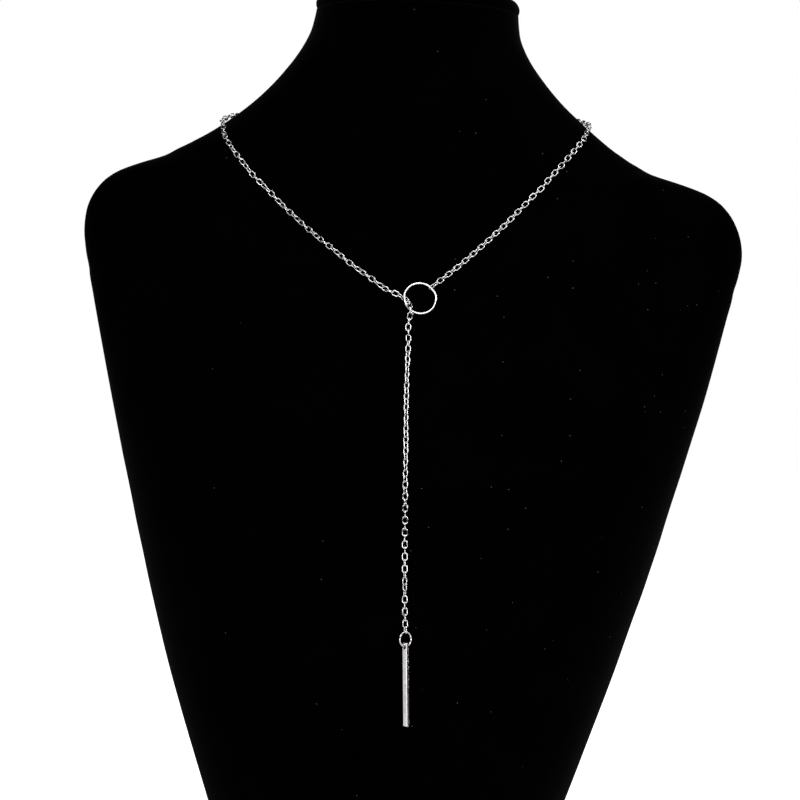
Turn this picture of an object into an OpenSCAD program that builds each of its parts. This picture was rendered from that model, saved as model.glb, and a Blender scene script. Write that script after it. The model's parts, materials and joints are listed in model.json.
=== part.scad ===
// Bar necklace shown on a neck bust.
// Millimetres. Z is up, the front faces -Y and the bust stands on the plane Z = 0.
// The origin lies under the middle of the whole object.

/* [Bust] */
// Height of the bust up to the underside of its neck cap
bust_tall = 320.5; // [310:0.5:330]
// Width over the shoulders
bust_wide = 241.2; // [234:0.2:248]
// Thickness of the cap that closes the neck
cap_thick = 5.5; // [4:0.5:7]

/* [Chain] */
// Outer length of one link
link_long = 3.05; // [3:0.05:3.15]
// Outer width of one link
link_wide = 2.1; // [2:0.05:2.2]
// Wire that the links are bent from
link_wire = 0.4; // [0.35:0.05:0.4]
// Play between two linked bends
link_play = 0.17; // [0.15:0.01:0.2]
// Links of the long chain from the clasp to the ring
neck_links = 87; // [84:1:89]

/* [Ring] */
// Outer diameter of the ring that the long chain is drawn through
ring_across = 12; // [11.8:0.1:12.2]
// Wire of the ring
ring_wire = 0.75; // [0.65:0.05:0.8]
// Lean of the ring, its top going back
ring_lean = 17; // [15:1:19]
// Turn of the ring, its left side coming forward
ring_turn = 7; // [5:1:9]

/* [Jump ring] */
// Outer diameter of the jump ring that carries the bar
jump_across = 5.6; // [5.2:0.1:6]
// Wire of the jump ring
jump_wire = 0.55; // [0.5:0.05:0.6]
// Turn of the jump ring about the vertical, its left side coming forward
jump_turn = 41; // [38:1:44]

/* [Bar] */
// Length of the bar
bar_long = 29; // [20:0.5:32]
// Side of the square bar
bar_side = 1.7; // [1.6:0.05:1.9]
// Diameter of the hole at the top of the bar
bar_hole = 1.3; // [1.25:0.05:1.4]
// Distance of the hole's middle from the top end
hole_drop = 1.7; // [1.5:0.1:2.5]
// Turn of the bar about the vertical, its drilled face pointing front left
bar_turn = 31; // [28:1:34]
// Lean of the bar and its jump ring, the lower end going right
bar_lean = 2.8; // [0:0.2:4]

/* [Clasp] */
// Outer diameter of the round clasp
clasp_across = 6; // [5.5:0.5:7]
// Thickness of the clasp's tube
clasp_tube = 1; // [0.8:0.1:1]
// Outer diameter of the clasp's small eye
eye_across = 2.9; // [2.8:0.1:3.2]
// Wire of the small eye
eye_wire = 0.6; // [0.5:0.05:0.7]

/* [Hidden] */
$fn = 32;

// Clear space between two pieces that rest on each other
rest_gap = 0.3;
// The drawing is moved back by this much, so that the origin is under the middle
drawn_shift = 3.8;
// Size at which the tables below are drawn
drawn_tall = 320.5;
drawn_wide = 241.2;
up = bust_tall / drawn_tall;
out = bust_wide / drawn_wide;

// Level sections of the velvet body
// height, half width, front, widest line, back, middle's place across
BUST_SECTIONS = [
    [0, 51.5, -53.6, 1, 40.5, -2.6],
    [2, 53.8, -55.5, 1, 42.5, -2.6],
    [20, 60.5, -57.7, 1, 43.5, -2.55],
    [40, 67.6, -60.2, 1.5, 44.5, -2.45],
    [60, 74.4, -62.6, 1.5, 46, -2.45],
    [80, 81, -64.8, 2, 47.5, -2.25],
    [100, 86.9, -66.4, 2, 49, -1.95],
    [110, 89.9, -66.9, 2.5, 50, -1.65],
    [119, 92.4, -66.9, 3, 51, -1.45],
    [129, 95.2, -66.2, 3.5, 51.8, -1.3],
    [140, 98, -64, 4, 52.5, -1.15],
    [152, 101.3, -59.8, 4.5, 53.5, -0.95],
    [165, 104.7, -54, 5, 54.5, -0.7],
    [180, 108.6, -46.6, 6, 55.5, -0.4],
    [195, 112.2, -38.9, 7, 57, -0.3],
    [210, 115.7, -31.6, 8.5, 58, -0.25],
    [222, 118.5, -25.6, 10, 59, -0.1],
    [232, 120.5, -19.6, 11.5, 60, 0.05],
    [238, 120.5, -15.6, 12.5, 60.3, -0.1],
    [244, 119.2, -12, 13.5, 60.6, -0.45],
    [250, 116, -9.5, 14.5, 60.8, -0.7],
    [255, 110.8, -8.4, 15.5, 60.9, -1.05],
    [259, 102.5, -7.9, 16.5, 60.9, -1.8],
    [262, 92.2, -7.6, 17.3, 60.8, -2.8],
    [266, 84.5, -7.3, 18.5, 60.6, -3.25],
    [272, 74.5, -7.2, 20, 60.4, -2.75],
    [280, 64.2, -7.3, 22, 60.3, -2.1],
    [288, 55.4, -7.6, 23.5, 60.3, -2.1],
    [296, 48.4, -8, 24.5, 60.4, -2.15],
    [304, 42.7, -8.5, 25.3, 60.5, -2.2],
    [312, 38.9, -9, 25.8, 60.6, -2.05],
    [320.5, 37.4, -9.5, 26, 61, -1.7]
];
HALF_WIDTH = 1;
FRONT = 2;
WIDEST = 3;
BACK = 4;
MIDDLE = 5;

// Heights of the rings of points on the body, closer together where it bends
BODY_RINGS = [
    for (h = [2 : 9 : 137]) h,
    for (h = [146 : 6 : 230]) h,
    for (h = [233 : 3 : 272]) h,
    for (h = [277 : 5 : 317]) h
];
body_sides = 56;

// Smooth reading of a table between its rows, by its first column
function row_under(table, key) =
    max([for (i = [0 : len(table) - 2]) if (i == 0 || table[i][0] <= key) i]);
function slope_at(table, i, column) =
    let (low = max(i - 1, 0), high = min(i + 1, len(table) - 1))
    (table[high][column] - table[low][column]) / (table[high][0] - table[low][0]);
function smooth_value(table, key, column) =
    let (
        i = row_under(table, key),
        span = table[i + 1][0] - table[i][0],
        t = min(max((key - table[i][0]) / span, 0), 1),
        rise_in = slope_at(table, i, column) * span,
        rise_out = slope_at(table, i + 1, column) * span
    )
    table[i][column] * (2 * t ^ 3 - 3 * t ^ 2 + 1) + rise_in * (t ^ 3 - 2 * t ^ 2 + t)
        + table[i + 1][column] * (3 * t ^ 2 - 2 * t ^ 3) + rise_out * (t ^ 3 - t ^ 2);

// Point of the velvet at a bearing: 0 right side, 90 nape, 180 left side, 270 front
function half_width(height) = out * smooth_value(BUST_SECTIONS, height / up, HALF_WIDTH);
function section_middle(height) = out * smooth_value(BUST_SECTIONS, height / up, MIDDLE);
function depth_at(height, column) =
    smooth_value(BUST_SECTIONS, height / up, column) + drawn_shift;
function velvet_point(bearing, height) =
    let (
        middle = depth_at(height, WIDEST),
        reach = sin(bearing) < 0
            ? middle - depth_at(height, FRONT)
            : depth_at(height, BACK) - middle
    )
    [section_middle(height) + half_width(height) * cos(bearing),
        middle + reach * sin(bearing), height];
function unit(v) = v / norm(v);
// Direction away from the velvet, from short steps to each side and up and down
side_step = 1;
rise_step = 0.5;
function outward(bearing, height) =
    unit(cross(
        velvet_point(bearing + side_step, height) - velvet_point(bearing - side_step, height),
        velvet_point(bearing, height + rise_step) - velvet_point(bearing, height - rise_step)));
// Point at a height over the velvet, from bearing, height and lift
function over_velvet(place) =
    velvet_point(place[0], place[1]) + place[2] * outward(place[0], place[1]);

// Place on the front from a point's own x and z and its lift; turns is 0 on the right chain
function front_bearing(x, z) = -acos((x - section_middle(z)) / half_width(z));
function front_place(x, z, lift, turns) =
    let (
        away = outward(front_bearing(x, z), z),
        foot_x = x - lift * away[0],
        foot_z = z - lift * away[2]
    )
    [360 * turns + front_bearing(foot_x, foot_z), foot_z, lift];
function front_depth(x, z) = velvet_point(front_bearing(x, z), z)[1];
function point_place(p, turns) =
    let (away = outward(front_bearing(p[0], p[2]), p[2]))
    front_place(p[0], p[2], (front_depth(p[0], p[2]) - p[1]) * abs(away[1]), turns);

// Lift of a chain's middle line: an upright link then clears the velvet
rest_lift = link_wide / 2 + rest_gap;
pitch = link_long - 2 * link_wire - link_play;
hook = (link_wire + link_play) / 2;
// Play where an end link holds a ring
hold_more = 0.04;
hold_play = link_play + hold_more;

// The ring lies on the chest, lifted on its left side by the chain behind it
RING_PLACE = [3.15 * out, 212.6 * up];
ring_lift = 1.85;
ring_bend = (ring_across - ring_wire) / 2;
ring_middle = over_velvet(front_place(RING_PLACE[0], RING_PLACE[1], ring_lift, 0));
function turned(v, lean, turn) =
    let (y = v[1] * cos(lean) + v[2] * sin(lean), z = v[2] * cos(lean) - v[1] * sin(lean))
    [v[0] * cos(turn) - y * sin(turn), v[0] * sin(turn) + y * cos(turn), z];
function ring_point(angle, radius) =
    ring_middle + turned([radius * cos(angle), 0, radius * sin(angle)], ring_lean, ring_turn);

// The lower chest falls away, so that the end of the drop and the bar hang clear of it
hang_height = 116 * up;
hang_depth = front_depth(0, hang_height) - rest_lift;
hole_middle = [2.8 * out, hang_depth, 92.4 * up];
jump_bend = (jump_across - jump_wire) / 2;
// The hole rests on the wire with the wire this far above the hole's middle
wire_rise = 0.1;
jump_middle = hole_middle
    + [-(wire_rise + jump_bend) * sin(bar_lean), 0, (wire_rise + jump_bend) * cos(bar_lean)];
drop_end = jump_middle + (jump_bend - jump_wire / 2 - link_wire / 2 - link_play + hook)
    * [-sin(bar_lean), 0, cos(bar_lean)];

// Where the short chain's end link holds the ring
grip_angle = 48.5;
grip_start = ring_point(grip_angle, ring_bend - (ring_wire + link_wire) / 2 - hold_play + hook);

// Middle lines of the two chains on the front: x, z
SHORT_FRONT = [
    [12.8, 221.6], [18.3, 226.5], [23.3, 231.3], [28.8, 236.8], [33.8, 242], [38.3, 247],
    [43.3, 252.6], [47.8, 258], [49.8, 260.4], [51.8, 262.7], [53.6, 265], [55.5, 267.4],
    [58.7, 271.6], [61.2, 275.2], [62.4, 278.4]
];
LONG_FRONT = [
    [-71.2, 274.8], [-70.7, 271.5], [-68.7, 268], [-67.1, 265.5], [-65.3, 263.1],
    [-63.1, 260.5], [-61, 258.2], [-55.7, 252.6], [-50.9, 248.1], [-43.2, 241], [-36.1, 235],
    [-28.7, 229.4], [-21.3, 223.7], [-14.7, 219.3]
];
// The hidden stretch over the shoulders and round the nape: bearing, height
NAPE_ROUTE = [
    [-8, 279.2], [2, 280.5], [12, 282.2], [24, 284.3], [40, 286.1], [58, 287.2], [75, 287.8],
    [92, 287.9], [110, 287.5], [128, 286.2], [145, 283.6], [158, 281], [168, 279.3],
    [178, 277.6], [188, 275.7]
];
// The long chain behind and then over the ring's wire: x and z from the ring's middle, lift
WEAVE = [
    [-12.4, 2.9, 1.5], [-10.5, 2.1, 1.45], [-8.6, 1.4, 1.4], [-6.8, 0.6, 1.3],
    [-5.1, -0.55, 1.25], [-4, -1.55, 2.15], [-3.45, -2.95, 3.14], [-3.2, -4.8, 3.14],
    [-3.35, -6.75, 2.5], [-3.65, -8.8, 1.9], [-3.85, -10.8, 1.5]
];
// Row of the weave where the long chain's two runs are linked
weave_row = 4;
// Length by which that link is drawn back from the row
link_lead = 1.15;
// The drop down the chest: x, z
DROP = [
    [-0.4, 198.2], [-0.4, 191.3], [-0.4, 183.4], [-0.3, 176], [-0.1, 168.4], [0.2, 158.7],
    [0.5, 146.8], [0.8, 138], [1.1, 128], [1.5, 118], [1.9, 108]
];

// The whole route, from the ring's grip round the neck, through the ring and down to the bar
function drop_lift(x, z) =
    z < hang_height
        ? (front_depth(x, z) - hang_depth) * abs(outward(front_bearing(x, z), z)[1])
        : rest_lift;
ROUTE = [
    point_place(grip_start, 0),
    for (p = SHORT_FRONT) front_place(p[0] * out, p[1] * up, rest_lift, 0),
    for (p = NAPE_ROUTE) [p[0], p[1] * up, rest_lift],
    for (p = LONG_FRONT) front_place(p[0] * out, p[1] * up, rest_lift, 1),
    for (p = WEAVE) front_place(RING_PLACE[0] + p[0], RING_PLACE[1] + p[1], p[2], 1),
    for (p = DROP) front_place(p[0] * out, p[1] * up, drop_lift(p[0] * out, p[1] * up), 1),
    point_place(drop_end, 1)
];
link_row = 1 + len(SHORT_FRONT) + len(NAPE_ROUTE) + len(LONG_FRONT) + weave_row;

// Running lengths along a list of points
function running_length(points) =
    [for (i = 0, s = 0; i < len(points);
        s = s + (i + 1 < len(points) ? norm(points[i + 1] - points[i]) : 0), i = i + 1) s];
row_points = [for (place = ROUTE) over_velvet(place)];
row_keys = running_length(row_points);
KEYED_ROUTE = [for (i = [0 : len(ROUTE) - 1]) concat([row_keys[i]], ROUTE[i])];
function place_at(key) = [for (column = [1 : 3]) smooth_value(KEYED_ROUTE, key, column)];
sample_step = 0.5;
sample_keys = [for (key = [0 : sample_step : row_keys[len(ROUTE) - 1]]) key,
    row_keys[len(ROUTE) - 1]];
sample_lengths = running_length([for (key = sample_keys) over_velvet(place_at(key))]);
KEY_BY_LENGTH = [for (i = [0 : len(sample_keys) - 1]) [sample_lengths[i], sample_keys[i]]];
LENGTH_BY_KEY = [for (pair = KEY_BY_LENGTH) [pair[1], pair[0]]];
function route_place(length) = place_at(lookup(length, KEY_BY_LENGTH));
function route_point(length) = over_velvet(route_place(length));

// Stations along the route
clasp_bend = (clasp_across - clasp_tube) / 2;
eye_bend = (eye_across - eye_wire) / 2;
eye_overlap = 0.35;
eye_away = (clasp_across + eye_across) / 2 - eye_overlap;
short_hold = clasp_bend - (clasp_tube + link_wire) / 2 - hold_play + hook;
long_hold = eye_away + eye_bend - (eye_wire + link_wire) / 2 - hold_play + hook;
route_end = sample_lengths[len(sample_lengths) - 1];
linked_at = lookup(row_keys[link_row], LENGTH_BY_KEY) - link_lead;
long_start = linked_at - neck_links * pitch;
clasp_at = long_start - long_hold;
short_length = clasp_at - short_hold;
short_links = round(short_length / pitch);
drop_links = round((route_end - linked_at) / pitch);

// Roll of the links about the chain's line: 0 lies flat, 90 stands upright
neck_roll = 108;
plain_roll = 90;
upright = 90;
// Extra roll of the drop: height, roll
DROP_ROLL = [
    [97, 180], [105.5, 175], [109.6, 155], [114, 130], [118, 102], [122, 92], [134.5, 90],
    [138.5, 80], [142.5, 68], [147, 62], [151, 56], [166, 50], [182, 54], [189, 50], [193, 32],
    [196.5, 20], [203.5, 0], [212, 0]
];
// Uneven roll of the drop: how far, and how fast it comes and goes
roll_sway = 8;
sway_step = 137;
// Roll of the end links where they hold the ring and the jump ring
grip_roll = -78;
jump_roll = 113;
// Links over which the roll is eased towards an end
grip_ease = 2.3;
jump_ease = 10;
clasp_ease = 30;
function wrapped(angle) = angle - 180 * round(angle / 180);
function eased(fix, links_away, ease) = fix * max(0, 1 - links_away / ease);
function drop_roll_plain(i, height) =
    plain_roll * i + lookup(height / up, DROP_ROLL) + roll_sway * sin(i * sway_step);
jump_fix = wrapped(jump_roll - drop_roll_plain(drop_links - 1, DROP_ROLL[0][0] * up));
function drop_roll(i, height) =
    drop_roll_plain(i, height) + eased(jump_fix, drop_links - 1 - i, jump_ease);
long_fix = wrapped(neck_roll * (neck_links - 1));
function long_roll(k) =
    upright - neck_roll * (neck_links - 1 - k) + eased(long_fix, k, clasp_ease);
short_fix = wrapped(upright - plain_roll * (short_links - 1));
function short_roll(k) =
    plain_roll * k + eased(grip_roll, k, grip_ease)
        + eased(short_fix, short_links - 1 - k, clasp_ease);

// One oval link in the XY plane, its length along Y
module link() {
    bend = (link_wide - link_wire) / 2;
    straight = link_long - link_wide;
    for (turn = [0, 180]) rotate([0, 0, turn]) {
        translate([0, straight / 2, 0])
            rotate_extrude(angle = 180) translate([bend, 0]) circle(d = link_wire);
        translate([bend, 0, 0])
            rotate([90, 0, 0]) cylinder(h = straight, d = link_wire, center = true);
    }
}

// A link from one joint of the chain to the next
module link_between(from, to, away, roll) {
    along = unit(to - from);
    side = unit(cross(along, away));
    over = cross(side, along);
    wide = cos(roll) * side + sin(roll) * over;
    face = cross(wide, along);
    middle = (from + to) / 2;
    multmatrix([
        [wide[0], along[0], face[0], middle[0]],
        [wide[1], along[1], face[1], middle[1]],
        [wide[2], along[2], face[2], middle[2]],
        [0, 0, 0, 1]]) link();
}

module link_at(length, step, roll) {
    place = route_place(length + step / 2);
    link_between(route_point(length), route_point(length + step),
        outward(place[0], place[1]), roll);
}

// A closed skin over rings of points, lowest ring first
module closed_skin(rings) {
    sides = len(rings[0]);
    last = len(rings) - 1;
    polyhedron(
        points = [for (ring = rings) each ring],
        faces = [
            [for (i = [0 : sides - 1]) i],
            for (r = [0 : last - 1]) for (i = [0 : sides - 1])
                let (a = r * sides + i, b = r * sides + (i + 1) % sides)
                each [[a, a + sides, b], [b, a + sides, b + sides]],
            [for (i = [sides - 1 : -1 : 0]) last * sides + i]
        ],
        convexity = 6);
}
function body_ring(height) =
    [for (i = [0 : body_sides - 1]) velvet_point(i * 360 / body_sides, height)];

module bust() {
    color("black") closed_skin([
        body_ring(0),
        for (h = BODY_RINGS) body_ring(h * up),
        body_ring(bust_tall - rest_gap)
    ]);
}

// Rings of the neck cap: share of its thickness, inset of its edge
CAP_EDGE = [[0, 1.2], [0.08, 0.35], [0.3, 0], [0.55, 0.25], [0.8, 1.2], [0.94, 2.4], [1, 4]];
cap_overhang = 0.4;
function cap_ring(height, inset) =
    let (
        middle = depth_at(bust_tall, WIDEST),
        wide = half_width(bust_tall) + cap_overhang - inset,
        front = middle - depth_at(bust_tall, FRONT) + cap_overhang - inset,
        back = depth_at(bust_tall, BACK) - middle + cap_overhang - inset
    )
    [for (i = [0 : body_sides - 1]) let (b = i * 360 / body_sides)
        [section_middle(bust_tall) + wide * cos(b),
            middle + (sin(b) < 0 ? front : back) * sin(b), height]];

module neck_cap() {
    color("black") closed_skin([
        for (row = CAP_EDGE) cap_ring(bust_tall + row[0] * cap_thick, row[1])
    ]);
}

module long_chain_neck() {
    color("silver") for (k = [0 : neck_links - 1])
        link_at(long_start + k * pitch, pitch, long_roll(k));
}

module long_chain_drop() {
    step = (route_end - linked_at) / drop_links;
    color("silver") for (i = [0 : drop_links - 1]) {
        length = linked_at + i * step;
        link_at(length, step, drop_roll(i, route_point(length)[2]));
    }
}

module short_chain() {
    step = short_length / short_links;
    color("silver") for (k = [0 : short_links - 1])
        link_at(k * step, step, short_roll(k));
}

module wire_loop(bend, wire) {
    rotate_extrude() translate([bend, 0]) circle(d = wire);
}

module ring() {
    color("silver") translate(ring_middle) rotate([-ring_lean, 0, ring_turn])
        rotate([90, 0, 0]) wire_loop(ring_bend, ring_wire);
}

module jump_ring() {
    color("silver") translate(jump_middle) rotate([0, -bar_lean, 0]) rotate([90, 0, jump_turn])
        wire_loop(jump_bend, jump_wire);
}

// Square with rounded corners
edge_round = 0.3;
corner_steps = 4;
module rounded_square(side) {
    reach = side / 2 - edge_round;
    polygon([for (corner = [0 : 3]) for (i = [0 : corner_steps])
        let (a = corner * 90 + i * 90 / corner_steps, m = corner * 90 + 45)
        [reach * sqrt(2) * cos(m) + edge_round * cos(a),
            reach * sqrt(2) * sin(m) + edge_round * sin(a)]]);
}

// The bar with the middle of its hole at the origin
end_dome = 2;
foot_slant = 0.25;
hole_chamfer = 0.2;
module bar_body() {
    low = hole_drop - bar_long;
    difference() {
        translate([0, 0, low]) linear_extrude(bar_long) rounded_square(bar_side);
        rotate([90, 0, 0]) cylinder(h = 2 * bar_side, d = bar_hole, center = true);
        for (face = [-1, 1]) translate([0, face * bar_side / 2, 0]) rotate([90, 0, 0])
            cylinder(h = 2 * hole_chamfer, d1 = bar_hole + (1 + face) * hole_chamfer,
                d2 = bar_hole + (1 - face) * hole_chamfer, center = true);
        bar_end_cut(hole_drop, 1, 0);
        bar_end_cut(low, -1, foot_slant);
    }
}

// What is filed off an end to leave it domed
module bar_end_cut(end, direction, slant) {
    translate([0, 0, end - direction * end_dome]) difference() {
        translate([0, 0, direction * 1.5 * end_dome])
            cube([2 * end_dome, 2 * end_dome, 2 * end_dome], center = true);
        translate([slant, 0, 0]) sphere(r = end_dome);
    }
}

module bar() {
    color("silver") translate(hole_middle) rotate([0, -bar_lean, 0]) rotate([0, 0, -bar_turn])
        bar_body();
}

// Round clasp at the nape with a small eye on its left, lying along the chain
module clasp() {
    place = route_place(clasp_at);
    away = outward(place[0], place[1]);
    along = unit(route_point(clasp_at + 1) - route_point(clasp_at - 1));
    side = unit(cross(away, along));
    face = cross(along, side);
    middle = route_point(clasp_at);
    color("silver") multmatrix([
        [along[0], side[0], face[0], middle[0]],
        [along[1], side[1], face[1], middle[1]],
        [along[2], side[2], face[2], middle[2]],
        [0, 0, 0, 1]]) {
        wire_loop(clasp_bend, clasp_tube);
        translate([eye_away, 0, 0]) wire_loop(eye_bend, eye_wire);
    }
}

bust();
neck_cap();
long_chain_neck();
long_chain_drop();
short_chain();
ring();
jump_ring();
bar();
clasp();
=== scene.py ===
"""Looks of a bar necklace shown on a velvet neck bust.

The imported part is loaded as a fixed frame. Each piece below takes its place and its sizes from the
CAD node that it stands for. Everything is in metres, with Z up and the front facing -Y.
"""

import json
import logging
import math
from collections.abc import Mapping
from dataclasses import dataclass
from enum import Enum
from typing import Any

import bpy
import numpy as np
from mathutils import Matrix, Vector


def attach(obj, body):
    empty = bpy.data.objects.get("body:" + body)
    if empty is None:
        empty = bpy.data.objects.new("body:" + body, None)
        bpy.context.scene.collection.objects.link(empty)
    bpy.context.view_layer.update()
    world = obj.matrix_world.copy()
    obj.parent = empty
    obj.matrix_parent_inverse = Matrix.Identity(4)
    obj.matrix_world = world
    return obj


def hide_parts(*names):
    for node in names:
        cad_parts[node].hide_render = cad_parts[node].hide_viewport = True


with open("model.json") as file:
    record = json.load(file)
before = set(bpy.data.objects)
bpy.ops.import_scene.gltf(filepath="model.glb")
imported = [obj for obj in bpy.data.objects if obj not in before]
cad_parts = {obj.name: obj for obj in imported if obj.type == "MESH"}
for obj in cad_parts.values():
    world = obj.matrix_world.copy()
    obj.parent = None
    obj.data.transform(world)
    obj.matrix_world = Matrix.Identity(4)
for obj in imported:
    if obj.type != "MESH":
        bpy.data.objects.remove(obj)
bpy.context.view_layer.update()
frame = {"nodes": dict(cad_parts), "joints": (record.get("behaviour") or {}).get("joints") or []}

MM = 0.001
TONE = "tone"
OWN_PLACE = "own_place"
SHARP_ANGLE = math.radians(40)
CORE_SHARE = 0.02
CAP_SEAT = 0.29 * MM
log = logging.getLogger("necklace")


class Slot(Enum):
    """Material slots of the record."""

    VELVET = "velvet"
    CHAIN_METAL = "chain_metal"
    BAR_METAL = "bar_metal"


class Body(Enum):
    """Bodies of the part: what stands still, and the bar that swings."""

    STAND = "stand"
    PENDANT = "pendant"


class Joining(Enum):
    """Ways to make one mesh of two."""

    CUT = "DIFFERENCE"
    FUSE = "UNION"


class Wiring:
    """A node tree being put together, for a material or for geometry."""

    def __init__(self, tree: bpy.types.NodeTree) -> None:
        """Starts on a tree that may already hold nodes."""
        self.tree = tree

    def node(
        self, kind: str, sockets: Mapping[str | int, Any] | None = None, **options: Any
    ) -> bpy.types.Node:
        """Adds a node.

        Args:
            kind: Blender's name of the node type.
            sockets: a value or another node's output for each input, by name or number.
            options: the node's own settings.

        Returns:
            The new node.
        """
        made = self.tree.nodes.new(kind)
        for name, value in options.items():
            setattr(made, name, value)
        for name, value in (sockets or {}).items():
            self.feed(made.inputs[name], value)
        return made

    def feed(self, socket: bpy.types.NodeSocket, value: Any) -> None:
        """Joins an output to a socket, or sets the socket to a plain value.

        Args:
            socket: the socket to feed.
            value: another node's output, or the value.
        """
        if isinstance(value, bpy.types.NodeSocket):
            self.tree.links.new(value, socket)
        else:
            socket.default_value = value

    def maths(self, operation: str, *values: Any) -> bpy.types.NodeSocket:
        """Adds one step of arithmetic.

        Args:
            operation: the sum to do, such as MULTIPLY.
            values: its numbers or outputs, in order.

        Returns:
            The output with the result.
        """
        made = self.node("ShaderNodeMath", dict(enumerate(values)), operation=operation)
        return made.outputs[0]

    def spread(self, value: Any, low: float, high: float, to: tuple[float, float]) -> Any:
        """Maps a value from low..high onto the two numbers of to, and holds it there.

        Args:
            value: the output to map.
            low: value that becomes the first number of to.
            high: value that becomes the second number of to.
            to: the two numbers mapped onto.

        Returns:
            The output with the mapped value.
        """
        made = self.node(
            "ShaderNodeMapRange",
            {"Value": value, "From Min": low, "From Max": high, "To Min": to[0], "To Max": to[1]},
        )
        return made.outputs[0]

    def noise(
        self, place: bpy.types.NodeSocket, size: float, detail: float
    ) -> bpy.types.NodeSocket:
        """Adds smooth noise.

        Args:
            place: the point that it is read at.
            size: how large its patches are.
            detail: how many finer layers lie on them.

        Returns:
            The output with the noise.
        """
        sockets = {"Vector": place, "Scale": 1 / size, "Detail": detail}
        return self.node("ShaderNodeTexNoise", sockets).outputs[0]

    def mix_colours(self, share: Any, first: Any, second: Any) -> bpy.types.NodeSocket:
        """Mixes two colours.

        Args:
            share: 0 for the first colour, 1 for the second.
            first: an output, or red, green and blue.
            second: the same for the second colour.

        Returns:
            The output with the mixed colour.
        """
        sockets = {0: share}
        for number, colour in ((6, first), (7, second)):
            wired = isinstance(colour, bpy.types.NodeSocket)
            sockets[number] = colour if wired else (*colour, 1.0)
        return self.node("ShaderNodeMix", sockets, data_type="RGBA").outputs[2]

    def bump(self, height: bpy.types.NodeSocket, depth: float) -> bpy.types.NodeSocket:
        """Adds a bump that is as deep as given, and returns the surface direction."""
        return self.node("ShaderNodeBump", {"Height": height, "Distance": depth}).outputs[0]


def new_material(name: str) -> tuple[bpy.types.Material, Wiring, bpy.types.Node]:
    """Makes an empty procedural material.

    Args:
        name: the material's name.

    Returns:
        The material, its wiring, and its main shader.
    """
    material = bpy.data.materials.new(name)
    material.use_nodes = True
    wiring = Wiring(material.node_tree)
    shader = material.node_tree.nodes["Principled BSDF"]
    return material, wiring, shader


@dataclass(frozen=True)
class Velvet:
    """Black short-pile velvet with a little lint on its right side."""

    name: str = "black_velvet"
    dark: tuple[float, float, float] = (0.00015, 0.00015, 0.00017)
    light: tuple[float, float, float] = (0.0005, 0.0005, 0.00054)
    rough: tuple[float, float] = (1.0, 0.9)
    nap_patch: float = 24 * MM
    nap_detail: float = 4.0
    nap_range: tuple[float, float] = (0.12, 0.4)
    pile: float = 0.45 * MM
    pile_detail: float = 2.0
    pile_height: float = 0.12 * MM
    sheen: float = 0.02
    sheen_spread: float = 0.3
    lint_cell: float = 3 * MM
    lint_reach: float = 0.17 * MM
    lint_from: tuple[float, float] = (-20 * MM, 80 * MM)
    lint_share: tuple[float, float] = (0.04, 0.3)
    lint_colour: tuple[float, float, float] = (0.07, 0.07, 0.073)

    def material(self) -> bpy.types.Material:
        """Wires the velvet.

        Returns:
            The velvet: patches of nap, pile that catches light, and specks of lint.
        """
        material, wiring, shader = new_material(self.name)
        place = wiring.node("ShaderNodeTexCoord").outputs["Object"]
        patches = wiring.noise(place, self.nap_patch, self.nap_detail)
        pile = wiring.noise(place, self.pile, self.pile_detail)
        nap = wiring.maths("MULTIPLY", patches, pile)
        brushed = wiring.spread(nap, *self.nap_range, (0.0, 1.0))
        cloth = wiring.mix_colours(brushed, self.dark, self.light)
        dressed = wiring.mix_colours(self.lint(wiring, place), cloth, self.lint_colour)
        wiring.feed(shader.inputs["Base Color"], dressed)
        wiring.feed(shader.inputs["Roughness"], wiring.spread(nap, *self.nap_range, self.rough))
        wiring.feed(shader.inputs["Normal"], wiring.bump(pile, self.pile_height))
        shader.inputs["Specular IOR Level"].default_value = 0.0
        shader.inputs["Sheen Weight"].default_value = self.sheen
        shader.inputs["Sheen Roughness"].default_value = self.sheen_spread
        return material

    def lint(self, wiring: Wiring, place: bpy.types.NodeSocket) -> bpy.types.NodeSocket:
        """Wires the specks of lint.

        Args:
            wiring: the material's wiring.
            place: the point on the velvet.

        Returns:
            1 on a speck and 0 elsewhere.
        """
        cells = wiring.node("ShaderNodeTexVoronoi", {"Vector": place, "Scale": 1 / self.lint_cell})
        chance = wiring.node("ShaderNodeSeparateColor", {0: cells.outputs["Color"]})
        across = wiring.node("ShaderNodeSeparateXYZ", {0: place})
        share = wiring.spread(across.outputs[0], *self.lint_from, self.lint_share)
        near = wiring.maths(
            "LESS_THAN", cells.outputs["Distance"], self.lint_reach / self.lint_cell
        )
        chosen = wiring.maths("LESS_THAN", chance.outputs[0], share)
        return wiring.maths("MULTIPLY", near, chosen)


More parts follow.
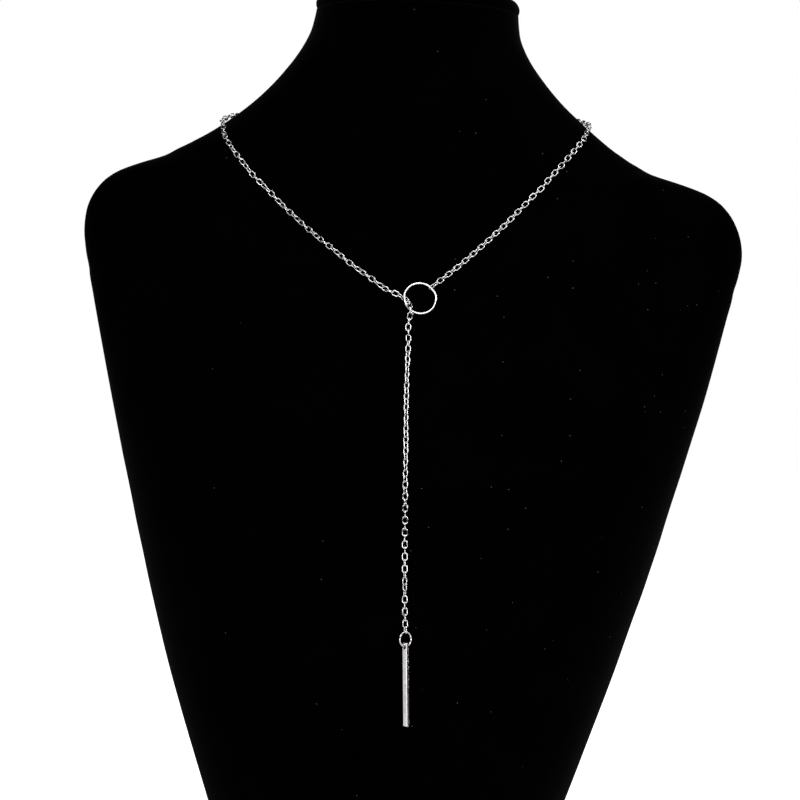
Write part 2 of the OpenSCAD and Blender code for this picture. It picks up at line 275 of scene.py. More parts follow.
@dataclass(frozen=True)
class Silver:
    """Polished silver-coloured metal with faint wear."""

    name: str = "polished_wire"
    bright: tuple[float, float, float] = (0.93, 0.895, 0.895)
    dull: tuple[float, float, float] = (0.8, 0.765, 0.77)
    smooth: float = 0.08
    worn: float = 0.18
    wear_patch: float = 1.2 * MM
    wear_detail: float = 5.0
    wear_range: tuple[float, float] = (0.35, 0.7)
    line_width: float = 0.06 * MM
    line_detail: float = 3.0
    line_stretch: float = 0.06
    line_depth: float = 0.004 * MM
    tone_drop: float = 0.14

    def place(self, wiring: Wiring) -> bpy.types.NodeSocket:
        """Returns the point on the piece."""
        return wiring.node("ShaderNodeTexCoord").outputs["Object"]

    def gloss(
        self, wiring: Wiring, place: bpy.types.NodeSocket, wear: bpy.types.NodeSocket
    ) -> bpy.types.NodeSocket:
        """Wires the roughness, which goes with the wear.

        Args:
            wiring: the material's wiring.
            place: the point on the piece. Not used here; the bar's metal reads it.
            wear: the noise of the wear.

        Returns:
            The roughness.
        """
        return wiring.spread(wear, *self.wear_range, (self.smooth, self.worn))

    def material(self) -> bpy.types.Material:
        """Wires the metal.

        Returns:
            The metal: wear in its colour and gloss, and fine polishing lines.
        """
        material, wiring, shader = new_material(self.name)
        place = self.place(wiring)
        wear = wiring.noise(place, self.wear_patch, self.wear_detail)
        stretched = wiring.node(
            "ShaderNodeMapping", {"Vector": place, "Scale": (1.0, 1.0, self.line_stretch)}
        )
        lines = wiring.noise(stretched.outputs[0], self.line_width, self.line_detail)
        dulled = wiring.spread(wear, *self.wear_range, (0.0, 1.0))
        tone = wiring.node("ShaderNodeAttribute", attribute_name=TONE).outputs["Fac"]
        toned = wiring.node(
            "ShaderNodeHueSaturation",
            {
                "Value": wiring.spread(tone, 0.0, 1.0, (1.0, 1.0 - self.tone_drop)),
                "Color": wiring.mix_colours(dulled, self.bright, self.dull),
            },
        )
        wiring.feed(shader.inputs["Base Color"], toned.outputs[0])
        wiring.feed(shader.inputs["Roughness"], self.gloss(wiring, place, wear))
        wiring.feed(shader.inputs["Normal"], wiring.bump(lines, self.line_depth))
        shader.inputs["Metallic"].default_value = 1.0
        return material


@dataclass(frozen=True)
class BarSilver(Silver):
    """The bar's satin metal, laid in the bar's own directions, with a right face left rough."""

    name: str = "satin_bar"
    smooth: float = 0.17
    worn: float = 0.26
    wear_patch: float = 2.5 * MM
    line_width: float = 0.05 * MM
    line_stretch: float = 0.02
    line_depth: float = 0.0015 * MM
    cut_side: float = 0.5 * MM
    cut_reach: tuple[float, float] = (-17 * MM, -3 * MM)
    cut_patch: float = 1.0 * MM
    cut_detail: float = 2.0
    cut_range: tuple[float, float] = (0.46, 0.58)
    cut_rough: float = 0.5

    def place(self, wiring: Wiring) -> bpy.types.NodeSocket:
        """Returns the point on the bar, in the bar's own directions."""
        return wiring.node("ShaderNodeAttribute", attribute_name=OWN_PLACE).outputs["Vector"]

    def gloss(
        self, wiring: Wiring, place: bpy.types.NodeSocket, wear: bpy.types.NodeSocket
    ) -> bpy.types.NodeSocket:
        """Roughens the right face in patches that thin out towards the foot.

        Args:
            wiring: the material's wiring.
            place: the point on the bar, in the bar's own directions.
            wear: the noise of the wear.

        Returns:
            The roughness.
        """
        spot = wiring.node("ShaderNodeSeparateXYZ", {0: place}).outputs
        patches = wiring.noise(place, self.cut_patch, self.cut_detail)
        marked = wiring.maths(
            "MULTIPLY",
            wiring.spread(patches, *self.cut_range, (0.0, 1.0)),
            wiring.spread(spot[2], *self.cut_reach, (0.0, 1.0)),
        )
        share = wiring.maths(
            "MULTIPLY", marked, wiring.maths("GREATER_THAN", spot[0], self.cut_side)
        )
        even = super().gloss(wiring, place, wear)
        return wiring.node("ShaderNodeMix", {0: share, 2: even, 3: self.cut_rough}).outputs[0]


@dataclass(frozen=True)
class Solid:
    """One loose solid of a CAD node, with the way it lies."""

    corners: np.ndarray
    middle: np.ndarray
    along: np.ndarray
    face: np.ndarray

    def reach(self, way: np.ndarray) -> tuple[float, float]:
        """Returns how far the solid reaches from its middle, down and up a direction."""
        far = (self.corners.reshape(-1, 3) - self.middle) @ way
        return float(far.min()), float(far.max())

    def span(self, way: np.ndarray) -> float:
        """Returns the solid's size along a direction."""
        low, high = self.reach(way)
        return high - low

    @property
    def across(self) -> np.ndarray:
        """The direction of the solid's width."""
        return np.cross(self.along, self.face)


class SolidReader:
    """Reads the loose solids of a CAD node. The node itself isn't touched."""

    ISLAND = "solid"
    WELD = 0.001 * MM

    def tree(self) -> bpy.types.NodeTree:
        """Wires the tree that tells loose solids apart.

        Returns:
            A tree that numbers the loose solids of a mesh.
        """
        tree = bpy.data.node_groups.new("number_solids", "GeometryNodeTree")
        tree.interface.new_socket("Geometry", in_out="INPUT", socket_type="NodeSocketGeometry")
        tree.interface.new_socket("Geometry", in_out="OUTPUT", socket_type="NodeSocketGeometry")
        wiring = Wiring(tree)
        given = wiring.node("NodeGroupInput")
        welded = wiring.node(
            "GeometryNodeMergeByDistance",
            {"Geometry": given.outputs[0], "Distance": self.WELD},
        )
        island = wiring.node("GeometryNodeInputMeshIsland")
        marked = wiring.node(
            "GeometryNodeStoreNamedAttribute",
            {
                "Geometry": welded.outputs[0],
                "Name": self.ISLAND,
                "Value": island.outputs["Island Index"],
            },
            data_type="INT",
            domain="FACE",
        )
        wiring.node("NodeGroupOutput", {0: marked.outputs[0]})
        return tree

    def read(self, node: str) -> list[Solid]:
        """Reads a CAD node.

        Args:
            node: the node's name.

        Returns:
            Its loose solids.
        """
        source = frame["nodes"][node]
        reader = put("reader", source.data)
        modifier = reader.modifiers.new("number", "NODES")
        modifier.node_group = self.tree()
        mesh = plain_mesh(reader)
        corners = np.empty(len(mesh.loops), np.int32)
        mesh.loops.foreach_get("vertex_index", corners)
        number = np.empty(len(mesh.polygons), np.int32)
        mesh.attributes[self.ISLAND].data.foreach_get("value", number)
        triangles = points_of(mesh).astype(float)[corners.reshape(-1, 3)]
        group = modifier.node_group
        bpy.data.objects.remove(reader)
        bpy.data.node_groups.remove(group)
        bpy.data.meshes.remove(mesh)
        return [self.place(triangles[number == i]) for i in range(number.max() + 1)]

    @staticmethod
    def place(triangles: np.ndarray) -> Solid:
        """Finds how a solid lies.

        Args:
            triangles: its surface.

        Returns:
            The solid, with its longest and its thinnest direction.
        """
        sides = np.cross(triangles[:, 1] - triangles[:, 0], triangles[:, 2] - triangles[:, 0])
        area = np.linalg.norm(sides, axis=1) / 2
        centre = triangles.mean(axis=1)
        middle = (area[:, None] * centre).sum(axis=0) / area.sum()
        away = triangles - middle
        sums = away.sum(axis=1)
        spread = np.einsum("t,tki,tkj->ij", area, away, away)
        spread += np.einsum("t,ti,tj->ij", area, sums, sums)
        ways = np.linalg.eigh(spread)[1]
        return Solid(triangles, middle, ways[:, 2], ways[:, 0])


def put(name: str, data: bpy.types.ID) -> bpy.types.Object:
    """Puts an object into the scene.

    Args:
        name: the object's name.
        data: the mesh, light or camera that it holds.

    Returns:
        The object.
    """
    made = bpy.data.objects.new(name, data)
    bpy.context.scene.collection.objects.link(made)
    return made


def points_of(mesh: bpy.types.Mesh) -> np.ndarray:
    """Reads a mesh's points.

    Args:
        mesh: the mesh to read.

    Returns:
        The points, a row for each.
    """
    points = np.empty(len(mesh.vertices) * 3, np.float32)
    mesh.vertices.foreach_get("co", points)
    return points.reshape(-1, 3)


def plain_mesh(source: bpy.types.Object) -> bpy.types.Mesh:
    """Returns what an object's modifiers make of it, as a mesh of its own."""
    view = bpy.context.evaluated_depsgraph_get()
    return bpy.data.meshes.new_from_object(source.evaluated_get(view))


def piece_of(
    name: str,
    mesh: bpy.types.Mesh,
    material: bpy.types.Material,
    body: Body,
    node: str,
) -> bpy.types.Object:
    """Puts a finished mesh into the scene in place of a CAD node.

    Args:
        name: the piece's name.
        mesh: its mesh, already in place.
        material: its finish.
        body: the body that it moves with.
        node: the CAD node that it stands for.

    Returns:
        The piece.
    """
    mesh.name = name
    mesh.materials.clear()
    mesh.materials.append(material)
    piece = put(name, mesh)
    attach(piece, body.value)
    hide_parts(node)
    log.info("%s: %d faces, in place of %s", name, len(mesh.polygons), node)
    return piece


class WireTree:
    """Geometry Nodes that set a bent-wire link on each point of a mesh.

    A link is an oval, or a circle where its length equals its width. Each point carries two
    directions: the one that its link is long in, and the one that it faces.
    """

    ALONG = "along"
    FACE = "face"
    SIZES = {
        "Length": "NodeSocketFloat",
        "Width": "NodeSocketFloat",
        "Wire": "NodeSocketFloat",
        "Bend steps": "NodeSocketInt",
        "Wire sides": "NodeSocketInt",
        "Seed": "NodeSocketInt",
        "Metal": "NodeSocketMaterial",
    }

    def __init__(self) -> None:
        """Makes the tree with its named inputs."""
        self.tree = bpy.data.node_groups.new("bent_wire", "GeometryNodeTree")
        face = self.tree.interface
        face.new_socket("Geometry", in_out="INPUT", socket_type="NodeSocketGeometry")
        face.new_socket("Geometry", in_out="OUTPUT", socket_type="NodeSocketGeometry")
        self.inputs = {
            name: face.new_socket(name, in_out="INPUT", socket_type=kind).identifier
            for name, kind in self.SIZES.items()
        }
        self.wiring = Wiring(self.tree)
        self.given = self.wiring.node("NodeGroupInput")
        self.wire_up()

    def link(self) -> bpy.types.NodeSocket:
        """Wires the shape of a link.

        Returns:
            The output with one link, long in Y and facing Z.
        """
        wiring, given = self.wiring, self.given.outputs
        inner = wiring.maths("SUBTRACT", given["Width"], given["Wire"])
        bend = wiring.maths("MULTIPLY", inner, 0.5)
        half_step = wiring.maths("DIVIDE", math.pi, given["Bend steps"])
        longer = wiring.maths("SUBTRACT", given["Length"], given["Width"])
        straight = wiring.maths("MULTIPLY", longer, 0.5)
        circle = wiring.node(
            "GeometryNodeCurvePrimitiveCircle",
            {"Resolution": given["Bend steps"], "Radius": bend},
        )
        turned = wiring.node(
            "GeometryNodeTransform",
            {
                "Geometry": circle.outputs[0],
                "Rotation": wiring.node("ShaderNodeCombineXYZ", {2: half_step}).outputs[0],
            },
        )
        place = wiring.node("GeometryNodeInputPosition").outputs[0]
        spot = wiring.node("ShaderNodeSeparateXYZ", {0: place})
        end = wiring.maths("MULTIPLY", wiring.maths("SIGN", spot.outputs[1]), straight)
        oval = wiring.node(
            "GeometryNodeSetPosition",
            {
                "Geometry": turned.outputs[0],
                "Offset": wiring.node("ShaderNodeCombineXYZ", {1: end}).outputs[0],
            },
        )
        section = wiring.node(
            "GeometryNodeCurvePrimitiveCircle",
            {
                "Resolution": given["Wire sides"],
                "Radius": wiring.maths("MULTIPLY", given["Wire"], 0.5),
            },
        )
        swept = wiring.node(
            "GeometryNodeCurveToMesh",
            {"Curve": oval.outputs[0], "Profile Curve": section.outputs[0]},
        )
        return wiring.node("GeometryNodeSetShadeSmooth", {0: swept.outputs[0]}).outputs[0]

    def wire_up(self) -> None:
        """Sets a link on each point, with a tone of its own, and gives it the metal."""
        wiring, given = self.wiring, self.given.outputs
        ways = {
            name: wiring.node(
                "GeometryNodeInputNamedAttribute", {"Name": name}, data_type="FLOAT_VECTOR"
            ).outputs["Attribute"]
            for name in (self.FACE, self.ALONG)
        }
        turn = wiring.node(
            "FunctionNodeAxesToRotation",
            {0: ways[self.FACE], 1: ways[self.ALONG]},
            primary_axis="Z",
            secondary_axis="Y",
        )
        set_out = wiring.node(
            "GeometryNodeInstanceOnPoints",
            {"Points": given["Geometry"], "Instance": self.link(), "Rotation": turn.outputs[0]},
        )
        chance = wiring.node(
            "FunctionNodeRandomValue", {"Seed": given["Seed"]}, data_type="FLOAT"
        )
        toned = wiring.node(
            "GeometryNodeStoreNamedAttribute",
            {"Geometry": set_out.outputs[0], "Name": TONE, "Value": chance.outputs[1]},
            data_type="FLOAT",
            domain="INSTANCE",
        )
        real = wiring.node("GeometryNodeRealizeInstances", {0: toned.outputs[0]})
        clad = wiring.node(
            "GeometryNodeSetMaterial", {"Geometry": real.outputs[0], "Material": given["Metal"]}
        )
        wiring.node("NodeGroupOutput", {0: clad.outputs[0]})

    def bend(
        self, solids: list[Solid], sizes: Mapping[str, float | int], metal: bpy.types.Material
    ) -> bpy.types.Mesh:
        """Bends a link for each solid.

        Args:
            solids: the CAD links to stand for.
            sizes: the tree's sizes by name.
            metal: the finish.

        Returns:
            All the links as one mesh.
        """
        points = bpy.data.meshes.new("link_places")
        points.from_pydata([tuple(s.middle) for s in solids], [], [])
        for name, ways in (
            (self.ALONG, [s.along for s in solids]),
            (self.FACE, [s.face for s in solids]),
        ):
            stored = points.attributes.new(name, "FLOAT_VECTOR", "POINT")
            stored.data.foreach_set("vector", np.array(ways, np.float32).ravel())
        holder = put("link_places", points)
        modifier = holder.modifiers.new("links", "NODES")
        modifier.node_group = self.tree
        for name, value in sizes.items():
            modifier[self.inputs[name]] = value
        modifier[self.inputs["Metal"]] = metal
        mesh = plain_mesh(holder)
        bpy.data.objects.remove(holder)
        return mesh


@dataclass
class WireWork:
    """Work bent from round wire in place of a CAD node, and how fine its mesh is."""

    node: str
    metal: Silver
    bend_steps: int = 120
    wire_sides: int = 20
    seed: int = 1

    def sizes(self, length: float, width: float, wire: float) -> dict[str, float | int]:
        """Returns the wire tree's inputs by name.

        Args:
            length: outer length of a link.
            width: outer width of a link.
            wire: thickness of the wire.

        Returns:
            The sizes with the mesh's fineness and the seed of the tones.
        """
        return {
            "Length": length,
            "Width": width,
            "Wire": wire,
            "Bend steps": self.bend_steps,
            "Wire sides": self.wire_sides,
            "Seed": self.seed,
        }

    def piece(
        self, name: str, mesh: bpy.types.Mesh, metal: bpy.types.Material
    ) -> bpy.types.Object:
        """Puts the finished mesh in place of the CAD node."""
        return piece_of(name, mesh, metal, Body.STAND, self.node)


@dataclass
class Chain(WireWork):
    """A run of links, one for each loose solid of its CAD node."""

    bend_steps: int = 14
    wire_sides: int = 8
    seed: int = 4

    def build(self, reader: SolidReader, tree: WireTree) -> bpy.types.Object:
        """Bends the links on the CAD links' places.

        Args:
            reader: reads the CAD node.
            tree: bends the links.

        Returns:
            The chain as one piece.
        """
        links = reader.read(self.node)
        long = float(np.median([s.span(s.along) for s in links]))
        wide = float(np.median([s.span(s.across) for s in links]))
        wire = float(np.median([s.span(s.face) for s in links]))
        log.info("%s: %d links, %.2f by %.2f mm", self.node, len(links), long / MM, wide / MM)
        metal = self.metal.material()
        mesh = tree.bend(links, self.sizes(long, wide, wire), metal)
        return self.piece(f"{self.node}_links", mesh, metal)


@dataclass
class RoundWire(WireWork):
    """A closed ring of round wire."""

    def build(self, reader: SolidReader, tree: WireTree) -> bpy.types.Object:
        """Bends the ring where the CAD ring lies.

        Args:
            reader: reads the CAD node.
            tree: bends the wire.

        Returns:
            The ring as one piece.
        """
        (ring,) = reader.read(self.node)
        across = ring.span(ring.along)
        metal = self.metal.material()
        mesh = tree.bend([ring], self.sizes(across, across, ring.span(ring.face)), metal)
        return self.piece(f"{self.node}_wire", mesh, metal)


def skin_of(name: str, rings: np.ndarray) -> bpy.types.Mesh:
    """Makes a closed skin over rings of points.

    Args:
        name: the mesh's name.
        rings: the rings, lowest first, each running anticlockwise seen from above.

    Returns:
        The mesh, closed by a face at each end.
    """
    count, sides = rings.shape[:2]
    row = np.arange(sides)
    faces = [row[::-1].tolist()]
    for ring in range(count - 1):
        low, high = ring * sides + row, (ring + 1) * sides + row
        faces += np.stack([low, np.roll(low, -1), np.roll(high, -1), high], axis=1).tolist()
    faces.append(((count - 1) * sides + row).tolist())
    mesh = bpy.data.meshes.new(name)
    mesh.from_pydata(rings.reshape(-1, 3).tolist(), [], faces)
    mesh.shade_smooth()
    return mesh


def joined(first: bpy.types.Mesh, other: bpy.types.Mesh, how: Joining) -> bpy.types.Mesh:
    """Cuts one mesh with another, or fuses the two.

    Args:
        first: the mesh to keep.
        other: the mesh that cuts it or is fused to it.
        how: whether to cut or to fuse.

    Returns:
        The result, with sharp edges marked and its flat faces shaded flat.
    """
    kept, tool = put("kept", first), put("tool", other)
    cut = kept.modifiers.new("cut", "BOOLEAN")
    cut.operation, cut.solver, cut.object = how.value, "EXACT", tool
    result = plain_mesh(kept)
    result.set_sharp_from_angle(angle=SHARP_ANGLE)
    kept.modifiers.clear()
    kept.data = result
    kept.modifiers.new("shade", "WEIGHTED_NORMAL").keep_sharp = True
    shaded = plain_mesh(kept)
    for holder in (kept, tool):
        bpy.data.objects.remove(holder)
    return shaded


@dataclass
class Bar:
    """The square bar: round edges, domed ends, and a hole with a rounded lip."""

    node: str
    metal: BarSilver
    edge: float = 0.26 * MM
    edge_steps: int = 8
    dome: float = 2 * MM
    dome_rings: int = 10
    dome_start: float = 0.9
    foot_slant: float = 0.25 * MM
    rim: float = 0.07 * MM
    rim_steps: int = 4
    lip_deep: float = 0.2 * MM
    lip_wide: float = 0.1 * MM
    lip_steps: int = 5
    hole_sides: int = 48

    def section(self, side: float) -> np.ndarray:
        """Draws the square section with round edges.

        Args:
            side: the bar's width.

        Returns:
            The section's points, anticlockwise.
        """
        turns = np.linspace(0, math.pi / 2, self.edge_steps + 1)
        reach = side / 2 - self.edge
        rows = []
        for corner in range(4):
            a = turns + corner * math.pi / 2
            m = (corner + 0.5) * math.pi / 2
            middle = reach * math.sqrt(2) * np.array([math.cos(m), math.sin(m)])
            rows.append(middle + self.edge * np.stack([np.cos(a), np.sin(a)], axis=1))
        return np.concatenate(rows)

    def end(self, section: np.ndarray, height: float, way: float, slant: float) -> np.ndarray:
        """Returns the rings of a domed end, from the bar's side to the end's middle.

        Args:
            section: the bar's section.
            height: where the bar ends.
            way: 1 for the top, -1 for the foot.
            slant: how far the dome is off the bar's middle.

        Returns:
            The rings.
        """
        rings = []
        size = np.abs(section).max()
        for turn in np.linspace(0, math.pi / 2, self.rim_steps + 1):
            rings.append((1 - self.rim * (1 - math.cos(turn)) / size, 1 - math.sin(turn)))
        inwards = np.linspace(self.dome_start, CORE_SHARE, self.dome_rings)
        rings += [(share, 0.0) for share in inwards]
        rows = []
        for share, drop in rings:
            flat = section * share
            off = np.hypot(flat[:, 0] - slant, flat[:, 1])
            rise = np.sqrt(self.dome**2 - off**2) - self.dome - drop * self.rim
            rows.append(np.column_stack([flat, height + way * rise]))
        return np.array(rows)

    def drill(self, side: float, hole: float) -> bpy.types.Mesh:
        """Makes what is cut out for the hole, with its lips.

        Args:
            side: the bar's width.
            hole: the radius of the hole.

        Returns:
            The cutter's mesh, along the bar's own Y.
        """
        past = np.linspace(0, 2, 2 * self.lip_steps + 1)
        deep = side / 2 - self.lip_deep + past * self.lip_deep
        wide = hole + self.lip_wide * past**2
        depths = np.concatenate([-deep[::-1], deep])
        radii = np.concatenate([wide[::-1], wide])
        turns = np.arange(self.hole_sides) * 2 * math.pi / self.hole_sides
        round_ = np.stack([np.cos(turns), np.zeros_like(turns), -np.sin(turns)], axis=1)
        rings = radii[:, None, None] * round_ + depths[:, None, None] * np.array([0.0, 1.0, 0.0])
        return skin_of("drill", rings)

    def build(self, reader: SolidReader) -> bpy.types.Object:
        """Builds the bar round the hinge that its hole makes.

        Args:
            reader: reads the CAD node.

        Returns:
            The bar as one piece.
        """
        (solid,) = reader.read(self.node)
        hinge = frame["joints"][0]
        pivot = np.array(hinge["pos_m"])
        back = -np.array(hinge["axis"])
        back /= np.linalg.norm(back)
        up = solid.along - (solid.along @ back) * back
        up *= np.sign(up[2]) / np.linalg.norm(up)
        right = np.cross(back, up)
        ways = np.stack([right, back, up], axis=1)
        local = (solid.corners.reshape(-1, 3) - pivot) @ ways
        side = float(np.ptp(local[:, 0]))
        hole = float(np.hypot(local[:, 0], local[:, 2]).min())
        low, high = local[:, 2].min(), local[:, 2].max()
        log.info("%s: %.2f mm square, %.2f mm long", self.node, side / MM, (high - low) / MM)
        section = self.section(side)
        foot = self.end(section, low, -1, self.foot_slant)[::-1]
        top = self.end(section, high, 1, 0.0)
        body = skin_of("bar_body", np.concatenate([foot, top]))
        mesh = joined(body, self.drill(side, hole), Joining.CUT)
        own = mesh.attributes.new(OWN_PLACE, "FLOAT_VECTOR", "POINT")
        own.data.foreach_set("vector", points_of(mesh).ravel())
        turned = Matrix([[*row, 0.0] for row in ways.tolist()] + [[0.0, 0.0, 0.0, 1.0]])
        mesh.transform(Matrix.Translation(pivot) @ turned)
        return piece_of(
            "bar_polished", mesh, self.metal.material(), Body.PENDANT, self.node
        )


@dataclass
class Clasp(WireWork):
    """The round clasp with its small eye, as one plain piece."""

    bend_steps: int = 72
    wire_sides: int = 18
    eye: float = 2.9 * MM
    eye_wire: float = 0.6 * MM

    def build(self, reader: SolidReader, tree: WireTree) -> bpy.types.Object:
        """Bends both loops where the CAD clasp lies, and fuses them.

        Args:
            reader: reads the CAD node.
            tree: bends the wire.

        Returns:
            The clasp as one piece.
        """
        (solid,) = reader.read(self.node)
        low, high = solid.reach(solid.along)
        way = solid.along if high > -low else -solid.along
        far = max(high, -low)
        width = solid.span(solid.across)
        metal = self.metal.material()
        loops = []
        for size, wire, out in (
            (width, solid.span(solid.face), far - (high - low) + width / 2),
            (self.eye, self.eye_wire, far - self.eye / 2),
        ):
            loop = Solid(solid.corners, solid.middle + out * way, way, solid.face)
            loops.append(tree.bend([loop], self.sizes(size, size, wire), metal))
        return self.piece("clasp_wire", joined(*loops, Joining.FUSE), metal)


def smooth_through(points: np.ndarray, steps: int, closed: bool) -> np.ndarray:
    """Runs a smooth curve through points along the first axis.

    Args:
        points: the points, or rows of points.
        steps: how many new points each stretch gets.
        closed: whether the last point leads back to the first.

    Returns:
        The finer points.
    """
    count = len(points)
    if closed:
        before, after = np.roll(points, 1, axis=0), np.roll(points, -1, axis=0)
        beyond = np.roll(points, -2, axis=0)
        here = points
    else:
        before = np.concatenate([2 * points[:1] - points[1:2], points[:-2]])
        here, after = points[:-1], points[1:]
        beyond = np.concatenate([points[2:], 2 * points[-1:] - points[-2:-1]])
    rows = []
    for step in range(steps):
        t = step / steps
        rows.append(
            here
            + 0.5 * t * (after - before)
            + t**2 * (before - 2.5 * here + 2 * after - 0.5 * beyond)
            + t**3 * (1.5 * (here - after) + 0.5 * (beyond - before))
        )
    fine = np.stack(rows, axis=1).reshape(-1, *points.shape[1:])
    return fine if closed else np.concatenate([fine, points[count - 1 :]])


@dataclass
class VelvetForm:
    """A velvet-covered form made of level rings of points, read from its CAD node."""

    node: str
    name: str
    cloth: Velvet
    steps_up: int = 3
    steps_round: int = 3
    lid_rings: int = 8
    seat: float = 0.0
    seat_share: float = 0.975

    START_SLACK = math.radians(2)
    WELD_DIGITS = 6

    def rings(self) -> np.ndarray:
        """Returns the CAD node's points as level rings.

        Returns:
            The rings, lowest first, each running round from its rightmost point.
        """
        points = points_of(frame["nodes"][self.node].data).astype(float)
        welded = np.unique(np.round(points, self.WELD_DIGITS), axis=0)
        heights = np.unique(welded[:, 2])
        rings = []
        for height in heights:
            level = welded[welded[:, 2] == height]
            right, left = level[level[:, 0].argmax()], level[level[:, 0].argmin()]
            away = level - (right + left) / 2
            bearing = np.arctan2(away[:, 1], away[:, 0]) + self.START_SLACK
            rings.append(level[np.argsort(bearing % (2 * math.pi))])
        return np.array(rings)

    def lid(self, ring: np.ndarray, rise: float) -> np.ndarray:
        """Closes a ring with rings that shrink to its middle.

        Args:
            ring: the edge to close.
            rise: how far the lid stands above the edge.

        Returns:
            The rings from the edge inwards, without the edge.
        """
        middle = ring.mean(axis=0)
        inwards = np.linspace(1, CORE_SHARE, self.lid_rings + 1)[1:]
        shares = np.append(self.seat_share, inwards)
        rows = middle + (ring - middle) * shares[:, None, None]
        rows[:, :, 2] += rise
        return rows

    def build(self) -> bpy.types.Object:
        """Runs a smooth skin over the node's rings.

        Returns:
            The form as one closed piece in the place of its node.
        """
        rings = smooth_through(self.rings(), self.steps_up, closed=False)
        rings = smooth_through(rings.swapaxes(0, 1), self.steps_round, closed=True).swapaxes(0, 1)
        foot, top = self.lid(rings[0], 0.0)[::-1], self.lid(rings[-1], self.seat)
        rings = np.concatenate([foot, rings, top])
        mesh, cloth = skin_of(self.name, rings), self.cloth.material()
        return piece_of(self.name, mesh, cloth, Body.STAND, self.node)


@dataclass(frozen=True)
class SoftLight:
    """A soft panel of light."""

    name: str
    place: tuple[float, float, float]
    wide: float
    tall: float
    watts: float

    def build(self, aim: Vector) -> None:
        """Hangs the panel and turns it towards a point.

        Args:
            aim: the point.
        """
        light = bpy.data.lights.new(self.name, "AREA")
        light.shape = "RECTANGLE"
        light.size, light.size_y = self.wide, self.tall
        light.energy = self.watts
        panel = put(self.name, light)
        panel.location = self.place
        panel.rotation_euler = (aim - Vector(self.place)).to_track_quat("-Z", "Y").to_euler()


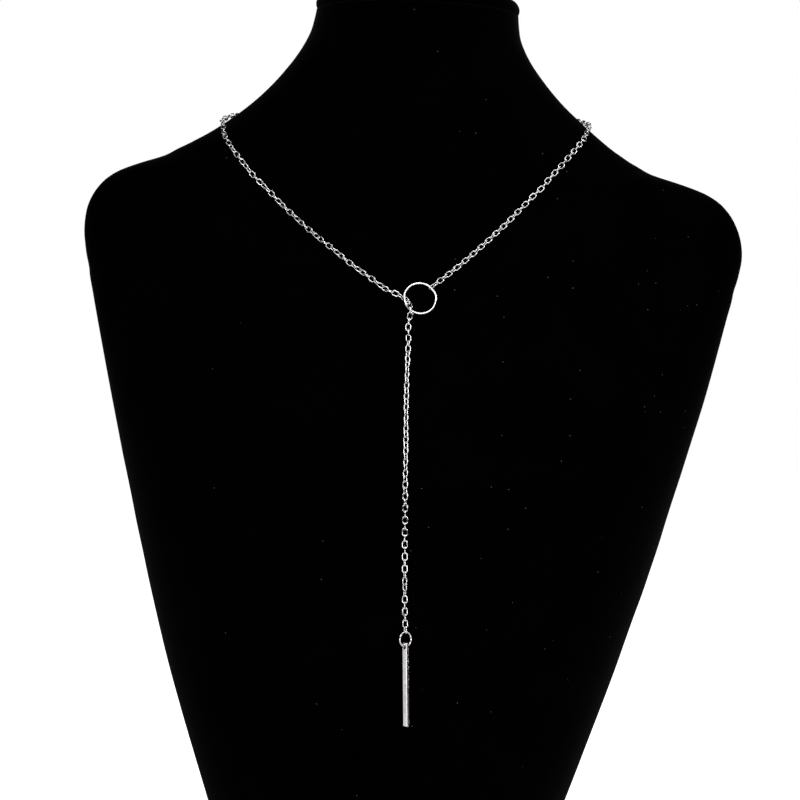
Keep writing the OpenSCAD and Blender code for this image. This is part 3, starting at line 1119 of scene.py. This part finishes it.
@dataclass
class Studio:
    """A pale floor, a white surround, soft lights, and the camera of the photograph."""

    eye: tuple[float, float, float] = (-0.00248, -1.1272, 0.1765)
    focus_distance: float = 1.1
    seen_width: float = 0.2824
    roll: float = math.radians(2.3)
    aim: tuple[float, float, float] = (0.0, 0.0, 0.18)
    floor_reach: float = 6.0
    floor_tone: float = 0.9
    floor_shine: float = 0.1
    floor_rough: tuple[float, float] = (0.75, 0.9)
    grain: float = 1 / 60
    grain_detail: float = 2.0
    grain_range: tuple[float, float] = (0.3, 0.7)
    backdrop: float = 1.0
    surround: float = 0.06
    floor_glow: tuple[float, float] = (0.85, 0.98)
    glow_reach: tuple[float, float] = (0.6, 1.8)
    lights: tuple[SoftLight, ...] = (
        SoftLight("front_panel", (0.0, -2.0, 0.22), 2.8, 0.5, 18.0),
        SoftLight("front_high_panel", (0.0, -1.5, 1.3), 0.8, 0.6, 10.5),
        SoftLight("top_panel", (0.1, -0.8, 1.6), 1.2, 0.8, 8.2),
        SoftLight("left_high_panel", (-1.2, -0.1, 0.95), 0.8, 0.6, 2.2),
        SoftLight("right_high_panel", (1.2, -0.1, 0.95), 0.8, 0.6, 9.0),
        SoftLight("right_panel", (1.25, -0.5, 0.5), 0.5, 1.0, 0.5),
    )

    def build(self) -> None:
        """Builds the floor, the surround, the lights and the camera."""
        self.floor()
        self.world()
        for light in self.lights:
            light.build(Vector(self.aim))
        self.camera()
        bpy.context.scene.view_settings.view_transform = "Standard"

    def floor(self) -> None:
        """Lays the pale floor, which glows a little so that it fades into the surround."""
        r = self.floor_reach
        mesh = bpy.data.meshes.new("studio_floor")
        mesh.from_pydata([(-r, -r, 0), (r, -r, 0), (r, r, 0), (-r, r, 0)], [], [(0, 1, 2, 3)])
        material, wiring, shader = new_material("pale_floor")
        place = wiring.node("ShaderNodeTexCoord").outputs["Object"]
        grain = wiring.noise(place, self.grain, self.grain_detail)
        rough = wiring.spread(grain, *self.grain_range, self.floor_rough)
        wiring.feed(shader.inputs["Roughness"], rough)
        shader.inputs["Base Color"].default_value = (*[self.floor_tone] * 3, 1.0)
        shader.inputs["Specular IOR Level"].default_value = self.floor_shine
        away = wiring.node("ShaderNodeVectorMath", {0: place}, operation="LENGTH").outputs["Value"]
        glow = wiring.spread(away, *self.glow_reach, self.floor_glow)
        seen = wiring.node("ShaderNodeLightPath").outputs["Is Camera Ray"]
        shader.inputs["Emission Color"].default_value = (1.0, 1.0, 1.0, 1.0)
        wiring.feed(
            shader.inputs["Emission Strength"],
            wiring.maths("MAXIMUM", wiring.maths("MULTIPLY", seen, glow), self.surround),
        )
        mesh.materials.append(material)
        floor = put("studio_floor", mesh)

    def world(self) -> None:
        """Makes the surround white where it is seen and grey where it only lights."""
        world = bpy.data.worlds.new("surround")
        world.use_nodes = True
        bpy.context.scene.world = world
        wiring = Wiring(world.node_tree)
        seen = wiring.node("ShaderNodeLightPath").outputs["Is Camera Ray"]
        shader = world.node_tree.nodes["Background"]
        shader.inputs["Color"].default_value = (1.0, 1.0, 1.0, 1.0)
        wiring.feed(
            shader.inputs["Strength"],
            wiring.spread(seen, 0.0, 1.0, (self.surround, self.backdrop)),
        )

    def camera(self) -> None:
        """Sets the camera level in front of the bust, rolled as the photograph is."""
        lens = bpy.data.cameras.new("photo_camera")
        lens.lens = lens.sensor_width * self.focus_distance / self.seen_width
        camera = put("photo_camera", lens)
        level = Matrix.Rotation(math.radians(90), 4, "X")
        camera.matrix_world = (
            Matrix.Translation(self.eye) @ level @ Matrix.Rotation(self.roll, 4, "Z")
        )
        bpy.context.scene.camera = camera


def main() -> None:
    """Builds and dresses the bust, then the necklace, then the studio."""
    logging.basicConfig(level=logging.INFO, format="%(name)s %(message)s")
    velvet, wire_metal = Velvet(), Silver()
    reader, tree = SolidReader(), WireTree()
    VelvetForm("bust", "velvet_body", velvet, seat=CAP_SEAT).build()
    VelvetForm("neck_cap", "velvet_neck_cap", velvet).build()
    for node in ("long_chain_neck", "long_chain_drop", "short_chain"):
        Chain(node, wire_metal).build(reader, tree)
    for node in ("ring", "jump_ring"):
        RoundWire(node, wire_metal).build(reader, tree)
    Clasp("clasp", wire_metal).build(reader, tree)
    Bar("bar", BarSilver()).build(reader)
    Studio().build()


if __name__ == "__main__":
    main()
